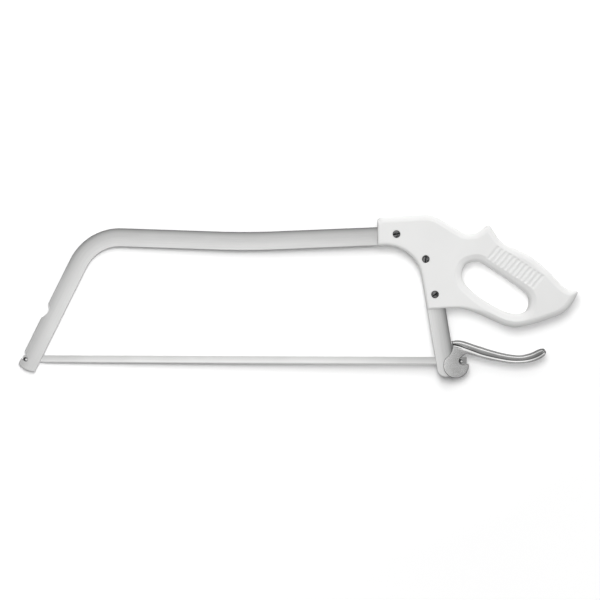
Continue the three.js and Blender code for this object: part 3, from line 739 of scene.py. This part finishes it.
def dark_oxide():
    """Blackened steel: patchy oxide with grey metal rubbed bare in places, and a fine turned grain."""
    material, wire = new_finish("dark_oxide")
    place = object_place(wire)
    cloud = noise(wire, place, 420.0, 4.0)
    fine = noise(wire, place, 3000.0)
    height = abs(place.axis(2) - mid_height)
    top = HANDLE_HALF - HEAD_SINK
    patches = cloud.between(0.32, 0.62) * 0.7 + fine * 0.3
    rub_and_highlight = height.between(top - 0.6 * MM, top - 0.2 * MM) * patches
    principled(wire, Base_Color=rub_and_highlight.tint((0.010, 0.010, 0.011), (0.29, 0.29, 0.29)), Metallic=1.0,
               Roughness=0.30 + cloud * 0.2, Normal=bumped(wire, fine, 0.2, 0.03 * MM))
    return material


oxide = dark_oxide()
slot_turns = {"front": 12, "middle": 82, "low": 40}
fixings = (("handle_screw", 1, SHANK_RADIUS, SHANK_LENGTH), ("sleeve_nut", -1, SLEEVE_RADIUS, SLEEVE_LENGTH))
for end, at in screw_at.items():
    for kind, side, seat_radius, reach in fixings:
        face = mid_height + side * (HANDLE_HALF - HEAD_SINK)
        fixing = turned(f"{kind}_{end}_turned", head_profile(face, side, seat_radius, reach), at)
        way = heading(side * slot_turns[end])
        across, long = left_of(way) * DRIVER_SLOT_HALF, way * HEAD_RADIUS * 1.5
        groove = [at - long - across, at + long - across, at + long + across, at - long + across]
        carve(fixing, [prism("driver_slot", groove, face - DRIVER_SLOT_DEPTH, face + DRIVER_SLOT_DEPTH)])
        fixing.data.materials.append(oxide)
        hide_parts(f"{kind}_{end}")
        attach(fixing, "frame")

# The blade: a thin ground steel strip, toothed along the edge away from the back bar, with a plain
# stretch and a pin through each end. Its ends lie in the slits of the two legs.

blade_low, blade_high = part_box("saw_blade")
rear_pin = middle_of(*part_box("blade_rear_pin"))
TOOTH_PITCH = 2.54 * MM
TOOTH_DEPTH = 1.3 * MM
PLAIN_END = 22 * MM
PIN_CHAMFER = 0.35 * MM
BLADE_SHARP = 20


def blade_outline():
    """The strip's outline with its row of teeth, each with a steep front and a sloping back."""
    span = rear_pin.x - front_pin.x
    teeth = int((span - 2 * PLAIN_END) / TOOTH_PITCH)
    first = front_pin.x + (span - teeth * TOOTH_PITCH) / 2
    tip, back = blade_low[1], blade_high[1]
    gullet = tip + TOOTH_DEPTH
    outline = [(blade_high[0], back), (blade_low[0], back), (blade_low[0], gullet)]
    for tooth in range(teeth):
        root = first + tooth * TOOTH_PITCH
        outline += [(root, gullet), (root + 0.16 * TOOTH_PITCH, gullet - 0.75 * TOOTH_DEPTH),
                    (root + 0.25 * TOOTH_PITCH, tip),
                    (root + 0.72 * TOOTH_PITCH, gullet - 0.22 * TOOTH_DEPTH)]
    return outline + [(first + teeth * TOOTH_PITCH, gullet), (blade_high[0], gullet)]


def pin_gap(wire, place, beside):
    """Distance across the saw's flat side from a line beside the nearer blade pin's axis."""
    flat = stretch(wire, place, (1.0, 1.0, 0.0))
    gaps = [wire.node("ShaderNodeVectorMath", {"operation": "DISTANCE"}, {
        0: flat, 1: (*(at + beside * MM), 0.0)}, "Value") for at in (front_pin, rear_pin)]
    return wire.math("MINIMUM", *gaps)


def ground_blade():
    """Bright steel ground lengthways, darker on the teeth and rear end; painted shade on its back and round
    its pins.
    """
    material, wire = new_finish("ground_blade")
    place = object_place(wire)
    lines = noise(wire, stretch(wire, place, (45.0, 5200.0, 900.0)), 1.0, 4.0, 0.6)
    cloud = noise(wire, place, 34.0)
    gullet = blade_low[1] + TOOTH_DEPTH
    teeth = 1 - place.axis(1).between(gullet, gullet + 0.6 * TOOTH_DEPTH)
    # Painted light and shade: darker along the back edge and paler towards the teeth.
    painted_light_to_teeth = place.axis(1).between(blade_high[1], gullet)
    tone = lines.between(0.3, 0.7) * 0.25 + cloud.between(0.3, 0.7) * 0.1 + painted_light_to_teeth * 0.65 - teeth * 0.4
    tail = place.axis(0).between(rear_pin.x, rear_pin.x + 2 * MM)
    bright = tail.tint(tone.tint((0.46, 0.46, 0.455), (0.84, 0.84, 0.835)), (0.36, 0.36, 0.36))
    # Painted shade: near black round each pin, for the shade in the pin pockets.
    pin_pocket_shade = 1 - pin_gap(wire, place, Vector((-0.9, -0.5))).between(2.4 * MM, 3.1 * MM)
    principled(wire, Base_Color=pin_pocket_shade.tint(bright, (0.05, 0.05, 0.05)), Metallic=1.0,
               Roughness=0.26 + lines * 0.12 + teeth * 0.1, Normal=bumped(wire, lines, 0.2, 0.03 * MM))
    return material


def pin_with_painted_highlight():
    """Hardened steel pin whose ends are painted dark round the rim as shade and bright off-centre as a
    highlight.
    """
    material, wire = new_finish("pin_with_painted_highlight")
    place = object_place(wire)
    fine = noise(wire, place, 1800.0)
    # Painted highlight and shade: each pin end is bright off-centre and dark round its rim.
    rub_and_highlight = 1 - (pin_gap(wire, place, Vector((0.5, -0.5))) + fine * 0.4 * MM).between(1.2 * MM, 1.7 * MM)
    principled(wire, Base_Color=rub_and_highlight.tint((0.05, 0.05, 0.055), (0.75, 0.75, 0.75)), Metallic=1.0,
               Roughness=0.22 + fine * 0.15, Normal=bumped(wire, fine, 0.15, 0.03 * MM))
    return material


made = bmesh.new()
skin(made, [[(*place, height) for place in blade_outline()] for height in (blade_low[2], blade_high[2])])
blade = mesh_object("toothed_blade", made, BLADE_SHARP)
blade.data.materials.append(ground_blade())
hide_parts("saw_blade")
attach(blade, "blade")

pin_steel = pin_with_painted_highlight()
for end in ("front", "rear"):
    low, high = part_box(f"blade_{end}_pin")
    shoulder = PIN_RADIUS - PIN_CHAMFER
    pin = turned(f"{end}_pin_turned", [
        (AXIS_RADIUS, low[2]), (shoulder, low[2]), (PIN_RADIUS, low[2] + PIN_CHAMFER),
        (PIN_RADIUS, high[2] - PIN_CHAMFER), (shoulder, high[2]), (AXIS_RADIUS, high[2]),
    ], middle_of(low, high))
    pin.data.materials.append(pin_steel)
    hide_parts(f"blade_{end}_pin")
    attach(pin, "blade")

# The tension lever: two round hooked cheeks with long flat lips, and a rounded hood that joins them along
# the arm, pressed and folded from one steel sheet and polished. It turns on two short flush rivets.

SHEET = 1.5 * MM
CHEEK_INNER = BAR_THICKNESS / 2 + 0.4 * MM
CHEEK_OUTER = CHEEK_INNER + SHEET
CHEEK_RADIUS = 14.64 * MM
CHEEK_CENTRE = pivot + Vector((8, -2.7)) * MM
CHEEK_RIM = 0.8 * MM
THROAT_RADIUS = 4.2 * MM
THROAT_ROOF = 6.2 * MM
NOSE_TOP = Vector((0, 25.3)) * MM
NOSE_GAP = 0.8 * MM
ARM_RINGS = 72
ARM_SPACING = 0.25 * MM
ARM_SHARP, PLATE_SHARP = 40, 30
HOLLOW_HALF_MM = 3.45
RIVET_RADIUS = 2.5 * MM
RIVET_FLUSH = 0.01 * MM
RIVET_RIM = 0.02 * MM


def lever_run(places):
    """A point for each ring of the arm on a smooth curve through places in mm from the lever's pivot."""
    shift = pivot - rear_corner
    run = smooth_run([tuple(Vector(place) + shift / MM) for place in places], ARM_SPACING)
    return [run[round(index * (len(run) - 1) / ARM_RINGS)] for index in range(ARM_RINGS + 1)]


def flat_plate(name, loops, low, high, rim, steps=3):
    """A flat sheet piece from an outer loop with softly rounded rims, painted dark as shade, and plain holes.
    """
    made = bmesh.new()
    grime = made.verts.layers.float.new("grime")
    rise = min(rim, 0.4 * (high - low))
    flat_ring_inset = 1.2 * rim
    turns = [math.pi / 2 * step / steps for step in range(steps + 1)]
    curve = [(0, flat_ring_inset)] + [(rise * (1 - math.cos(turn)), rim * (1 - math.sin(turn))) for turn in turns]
    soft = [(low + up, inset) for up, inset in curve] + [(high - up, inset) for up, inset in reversed(curve)]
    plain = [(low, 0), (high, 0)]
    ends = ([], [])
    for number, loop in enumerate(loops):
        inward = []
        for before, here, after in zip(loop[-1:] + loop[:-1], loop, loop[1:] + loop[:1]):
            inward.append(left_of((after - before).normalized()))
        levels = plain if number else soft
        made_rings = skin(made, [[(*(place + way * inset), height) for place, way in zip(loop, inward)]
                                 for height, inset in levels], closed=False)
        # Painted shade: the outer loop's rim is painted dark towards its edge; the holes stay plain.
        for ring, (_, inset) in zip(made_rings, levels):
            for vertex in ring:
                vertex[grime] = 0 if number else max(0, 1 - inset / flat_ring_inset)
        ends[0].append(made_rings[0])
        ends[1].append(made_rings[-1])
    for rims in ends:
        edges = [made.edges.get(pair) for ring in rims for pair in zip(ring, ring[1:] + ring[:1])]
        bmesh.ops.triangle_fill(made, use_beauty=True, edges=edges)
    return mesh_object(name, made, PLATE_SHARP)


def lever_nose():
    """Top corner of the lever's nose, just clear of the rear leg's outer edge."""
    leg_edge = pivot + left_of(rear_way) * (HALF_BAR - REAR_PIVOT_OFFSET + NOSE_GAP)
    return meet(leg_edge, rear_way, pivot + NOSE_TOP, Vector((1, 0)))


def cheek_outline():
    """A cheek with its hook and throat, counter-clockwise from the top of the nose."""
    nose = lever_nose()
    flank_top = nose + Vector((1, -7)) * MM
    join = CHEEK_CENTRE + heading(147) * CHEEK_RADIUS
    bow_out = Vector((flank_top.x, join.y + 6 * MM))
    flank = [flank_top.lerp(bow_out, share).lerp(bow_out.lerp(join, share), share)
             for share in np.linspace(0, 1, 13)]
    disc = [CHEEK_CENTRE + heading(turn) * CHEEK_RADIUS for turn in np.linspace(150, 361, 60)]
    throat_centre = rear_pin + Vector((THROAT_RADIUS - PIN_RADIUS - FIT, 0))
    tip = [throat_centre + Vector(place) * MM
           for place in ((6.2, -3.5), (5.3, -3.3), (4.4, -3.6), (2.8, -4.1))]
    throat = [throat_centre + heading(turn) * THROAT_RADIUS for turn in np.linspace(270, 135, 20)]
    roof = throat[-1] + heading(45) * THROAT_ROOF
    under_arm = [pivot + Vector(place) * MM
                 for place in ((20.5, 10.9), (23, 13.2), (16.5, 15.8), (10.5, 18.2))]
    return [nose + Vector((1, -5.6)) * MM, *flank, *disc, *tip, *throat, roof, *under_arm]


def arm_profile(lip, crest, valley, rise, nose_wedge_shade):
    """One side of the arm's section, from its lower edge to the middle of its back.

    Each knot is a height and a half width in mm, and painted shade from 0 to 1.
    """
    # Painted shade: dark in the crease, in a wedge by the nose and at the middle of the hood's back.
    bead = [(0, 3.9, 0), (0.12, 4.75, 0), (0.3, crest - 0.06, 0), (0.55, crest, 0),
            (0.85, valley + 0.12, 0), (1, valley, 1)]
    hood = [(0.05, valley + 0.08, 1), (0.2, 5.35, nose_wedge_shade), (0.38, 5.9, 0), (0.55, 5.92, 0), (0.72, 5.55, 0),
            (0.86, 4.85, 0), (0.94, 3.6, 0.4), (0.985, 1.9, 1), (1, 0, 1)]
    knots = [(share * lip, half, painted_dark) for share, half, painted_dark in bead]
    return knots + [(lip + share * (rise - lip), half, painted_dark) for share, half, painted_dark in hood]


def arm_rings():
    """Rings along the arm, with a beaded lip, a crease and a hood, hollow underneath; and their painted
    shade.
    """
    nose = (lever_nose() - pivot) / MM
    tops = lever_run([
        tuple(nose), (13.7, 25.8), (33.8, 19.6), (58.6, 12.3), (79.8, 9.2), (93, 11.7), (101.6, 15.6),
        (105.6, 17.0), (109.0, 17.0)])
    feet = lever_run([
        (nose.x + 2, 14), (19.5, 11), (41.4, 4.8), (64.4, 0.6), (77, -0.4), (92, 1.0), (102, 4.1),
        (107.4, 7.2), (110.6, 10.4), (111.4, 13.4)])
    hollow = ((0.87, 0), (0.85, 0.6), (0.78, 0.9), (0.66, 1), (0, 1))
    rings, painted_darks = [], []
    for index, (top, foot) in enumerate(zip(tops, feet)):
        along = index / ARM_RINGS
        rise = (top - foot).length / MM
        up = (top - foot) / rise
        lip = rise * np.interp(along, [0, 0.12, 0.3, 1], [0.62, 0.45, 0.34, 0.34])
        crest = np.interp(along, [0.05, 0.3], [4.9, 5.3])
        valley = np.interp(along, [0, 0.08, 0.3], [3.6, 3.7, 4.55])
        close = np.interp(along, [0.94, 1], [1, 0])
        narrow = 0.5 + 0.5 * math.sqrt(1 - (1 - close) ** 2)
        nose_wedge_shade = np.interp(along, [0.02, 0.12], [1, 0])
        # Painted shade: the crease and hood-back shade varies along the arm, and the whole section darkens at
        # the nose and near the tip.
        shade_along_arm = np.interp(along, [0, 0.02, 0.1, 0.4, 0.8, 0.97, 1], [1, 1, 0.9, 0.6, 0.4, 0.5, 0.9])
        end_shade = np.interp(along, [0, 0.014, 0.975, 1], [1, 0, 0, 0.7])
        outer = [(height, half * narrow, max(painted_dark * shade_along_arm, end_shade))
                 for height, half, painted_dark in arm_profile(lip, crest, valley, rise, nose_wedge_shade)]
        inner = [(share * rise, HOLLOW_HALF_MM * width * narrow, 0) for share, width in hollow]
        far_side = outer[:-1][::-1] + inner[1:][::-1]
        section = outer + [(height, -half, painted_dark) for height, half, painted_dark in far_side] + inner
        rings.append([(*(foot + up * height), mid_height + half * MM) for height, half, _ in section])
        painted_darks.append([painted_dark for *_, painted_dark in section])
    return rings, painted_darks


def pressed_lever():
    """The arm with its two cheeks, as one piece."""
    made = bmesh.new()
    grime = made.verts.layers.float.new("grime")
    rings, painted_darks = arm_rings()
    # Stores each point's painted shade on the mesh.
    for ring, ring_painted_darks in zip(skin(made, rings), painted_darks):
        for vertex, painted_dark in zip(ring, ring_painted_darks):
            vertex[grime] = painted_dark
    arm = mesh_object("lever_pressing", made, ARM_SHARP)
    rivet_hole = round_outline(pivot, RIVET_RADIUS + RIVET_FLUSH)[::-1]
    loops = [cheek_outline(), rivet_hole]
    cheeks = [flat_plate("lever_side", loops, mid_height + low, mid_height + high, CHEEK_RIM)
              for low, high in ((-CHEEK_OUTER, -CHEEK_INNER), (CHEEK_INNER, CHEEK_OUTER))]
    with bpy.context.temp_override(active_object=arm, selected_editable_objects=[arm, *cheeks]):
        bpy.ops.object.join()
    return arm


def polished_lever():
    """Polished steel sheet: a clear shine, faint drawing lines, and painted shade on the tip, creases and
    rims.
    """
    material, wire = new_finish("polished_lever")
    place = object_place(wire)
    lines = noise(wire, stretch(wire, place, (220.0, 1500.0, 1500.0)), 1.0, 4.0, 0.6)
    cloud = noise(wire, place, 60.0)
    tone = lines.between(0.3, 0.7) * 0.5 + cloud.between(0.3, 0.7) * 0.5
    # Painted shade: the arm's tip is painted darker.
    tip = place.axis(0).between(pivot.x + 88 * MM, pivot.x + 100 * MM)
    bare = (tip * 0.5).tint(tone.tint((0.59, 0.59, 0.585), (0.74, 0.74, 0.735)), (0.30, 0.30, 0.30))
    # Painted shade: the stored shade values darken the creases, rims, nose and tip.
    grime = wire.node("ShaderNodeAttribute", {"attribute_name": "grime"}, output="Fac")
    principled(wire, Base_Color=grime.tint(bare, (0.04, 0.04, 0.04)), Metallic=1.0,
               Roughness=0.08 + cloud * 0.08 + lines * 0.05, Normal=bumped(wire, lines, 0.12, 0.03 * MM))
    return material


polish = polished_lever()
lever = pressed_lever()
lever.data.materials.append(polish)
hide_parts("tension_lever")
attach(lever, "lever")

for node in ("lever_pivot_upper", "lever_pivot_lower"):
    low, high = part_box(node)
    rivet = flat_plate(f"{node}_rivet", [round_outline(pivot, RIVET_RADIUS)], low[2] + RIVET_FLUSH,
                       high[2] - RIVET_FLUSH, RIVET_RIM)
    rivet.data.materials.append(polish)
    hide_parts(node)
    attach(rivet, "lever")

# The studio: a plain white table that the saw lies on, touching it at the tip of the bow and under the
# handle. Soft lights stand above it and around, some of them for the table or the handle alone, and the
# camera looks straight down.

TABLE_REACH = 4.0
TABLE_TILT = math.atan2(bow_low[2], handle_low[0] - bow_low[0])
PHOTO_PIXELS = 600
PIN_PIXEL = Vector((26.0, 359.1))
PIN_SPAN = 500 * MM
PIN_SPAN_PIXELS = 435
PIN_RISE_PIXELS = 1.9
PIXEL = PIN_SPAN / PIN_SPAN_PIXELS
LENS, SENSOR = 250, 36


def ray_kinds(wire):
    """Whether a ray comes straight from the camera, and whether it comes from a mirror image."""
    return [wire.node("ShaderNodeLightPath", output=f"Is {kind} Ray") for kind in ("Camera", "Glossy")]


def table_white():
    """Matt white, paler to the camera away from the saw, and greyer where the steel mirrors it."""
    material, wire = new_finish("table_white")
    camera_ray, mirrored = ray_kinds(wire)
    paper = wire.node("ShaderNodeBsdfDiffuse", {}, {
        "Color": mirrored.tint((0.95, 0.95, 0.95), (0.42, 0.42, 0.42))})
    away = wire.node("ShaderNodeVectorMath", {"operation": "LENGTH"}, {0: object_place(wire)}, "Value")
    glow = wire.node("ShaderNodeEmission", {}, {
        "Color": camera_ray * (away.between(0.3, 2.2) * 0.9 + 0.06), "Strength": 1.0})
    both = wire.node("ShaderNodeAddShader", {}, {0: paper, 1: glow})
    wire.node("ShaderNodeOutputMaterial", {}, {"Surface": both})
    return material


def studio_room():
    """White to the camera; to the steel, a grey ceiling that is paler overhead, and pale cards around."""
    world = bpy.data.worlds.new("studio")
    world.use_nodes = True
    world.node_tree.nodes.clear()
    wire = Wire(world.node_tree)
    camera_ray, mirrored = ray_kinds(wire)
    way = wire.node("ShaderNodeTexCoord", output="Generated")
    aside, back, up = abs(way.axis(0)), way.axis(1), way.axis(2)
    ceiling = wire.node("ShaderNodeValToRGB", {
        "stops": [(0.0, 0.10), (0.3, 0.26), (0.62, 0.35), (0.86, 0.40), (1.0, 0.44)],
    }, {"Fac": up.between(0.0, 1.0)})
    shaded = back.between(0.2, 0.7) * up.between(0.7, 0.45) * 0.85
    front_card = back.between(0.1, -0.5) * up.between(-0.2, 0.0) * up.between(0.45, 0.15) * mirrored * 0.85
    back_card = back.between(0.1, 0.8) * up.between(0.4, 0.7) * 1.5
    side_cards = aside.between(0.5, 0.85) * up.between(-0.25, 0.0) * up.between(0.5, 0.2) * mirrored * 0.7
    room = ceiling * (mirrored * 0.55 + 0.45) * (1 - shaded) + back_card + front_card + side_cards
    background = wire.node("ShaderNodeBackground", {}, {
        "Color": (1, 1, 1, 1), "Strength": wire.math("MAXIMUM", camera_ray, room)})
    wire.node("ShaderNodeOutputWorld", {}, {"Surface": background})
    return world


def linked(name, pieces, state):
    """A collection that ties a light to some pieces, or leaves them out for it."""
    group = bpy.data.collections.new(name)
    for piece in pieces:
        group.objects.link(piece)
    for member in group.collection_objects:
        member.light_linking.link_state = state
    return group


def soft_light(name, at, aim, size, power, mirrored=False):
    """A soft panel of light; gives its links to pieces."""
    lamp = bpy.data.lights.new(name, "AREA")
    lamp.shape = "RECTANGLE"
    lamp.size, lamp.size_y = size
    lamp.energy = power
    light = bpy.data.objects.new(name, lamp)
    light.location = at
    light.visible_glossy = mirrored
    light.rotation_euler = (Vector(aim) - Vector(at)).to_track_quat("-Z", "Y").to_euler()
    bpy.context.scene.collection.objects.link(light)
    return light.light_linking


made = bmesh.new()
made.faces.new([made.verts.new((x * TABLE_REACH, y * TABLE_REACH, 0))
                for x, y in ((-1, -1), (1, -1), (1, 1), (-1, 1))])
table = mesh_object("table", made)
table.matrix_world = Matrix.Translation((handle_low[0], 0, 0)) @ Matrix.Rotation(TABLE_TILT, 4, "Y")
table.data.materials.append(table_white())
bpy.context.scene.world = studio_room()

key = soft_light("key", (0.2, 0.95, 1.88), (0, 0, 0), (1.2, 1.2), 19.5)
key.receiver_collection = linked("key_off_table", [table], "EXCLUDE")
table_key = soft_light("table_key", (0.05, 0.5, 2.05), (0, 0, 0), (0.8, 0.75), 22.5)
table_key.receiver_collection = linked("table_key_on_table", [table], "INCLUDE")
table_far = soft_light("table_far", (0.05, 1.2, 1.75), (0, 0, 0), (0.8, 1.0), 12.0)
table_far.receiver_collection = linked("table_far_on_table", [table], "INCLUDE")
table_far.blocker_collection = linked("table_far_past_grips", [handle, lever], "EXCLUDE")
rim = soft_light("rim", (0.9, 1.8, 0.9), (0.2, 0, 0), (1.0, 0.6), 22.0)
rim.receiver_collection = linked("rim_on_handle", [handle], "INCLUDE")
fill = soft_light("fill", (0.2, -2.0, 0.8), (0.2, 0, 0), (1.0, 0.6), 11.5)
fill.receiver_collection = linked("fill_on_handle", [handle], "INCLUDE")
soft_light("panel", (-0.09, -0.055, 0.6), (-0.09, -0.055, 0), (0.54, 0.22), 0.415, mirrored=True)

view = bpy.data.cameras.new("photo_view")
view.lens = LENS
view.sensor_width = SENSOR
view.clip_end = 20
camera = bpy.data.objects.new("photo_view", view)
distance = LENS / SENSOR * PHOTO_PIXELS * PIXEL
roll = math.atan2(PIN_RISE_PIXELS, PIN_SPAN_PIXELS)
middle = Vector((PHOTO_PIXELS / 2 - PIN_PIXEL.x, PIN_PIXEL.y - PHOTO_PIXELS / 2)) * PIXEL
middle.rotate(Matrix.Rotation(roll, 2))
camera.location = (*(front_pin + middle), mid_height + distance)
camera.rotation_euler = (0, 0, roll)
bpy.context.scene.collection.objects.link(camera)
bpy.context.scene.camera = camera
bpy.context.scene.view_settings.view_transform = "Standard"
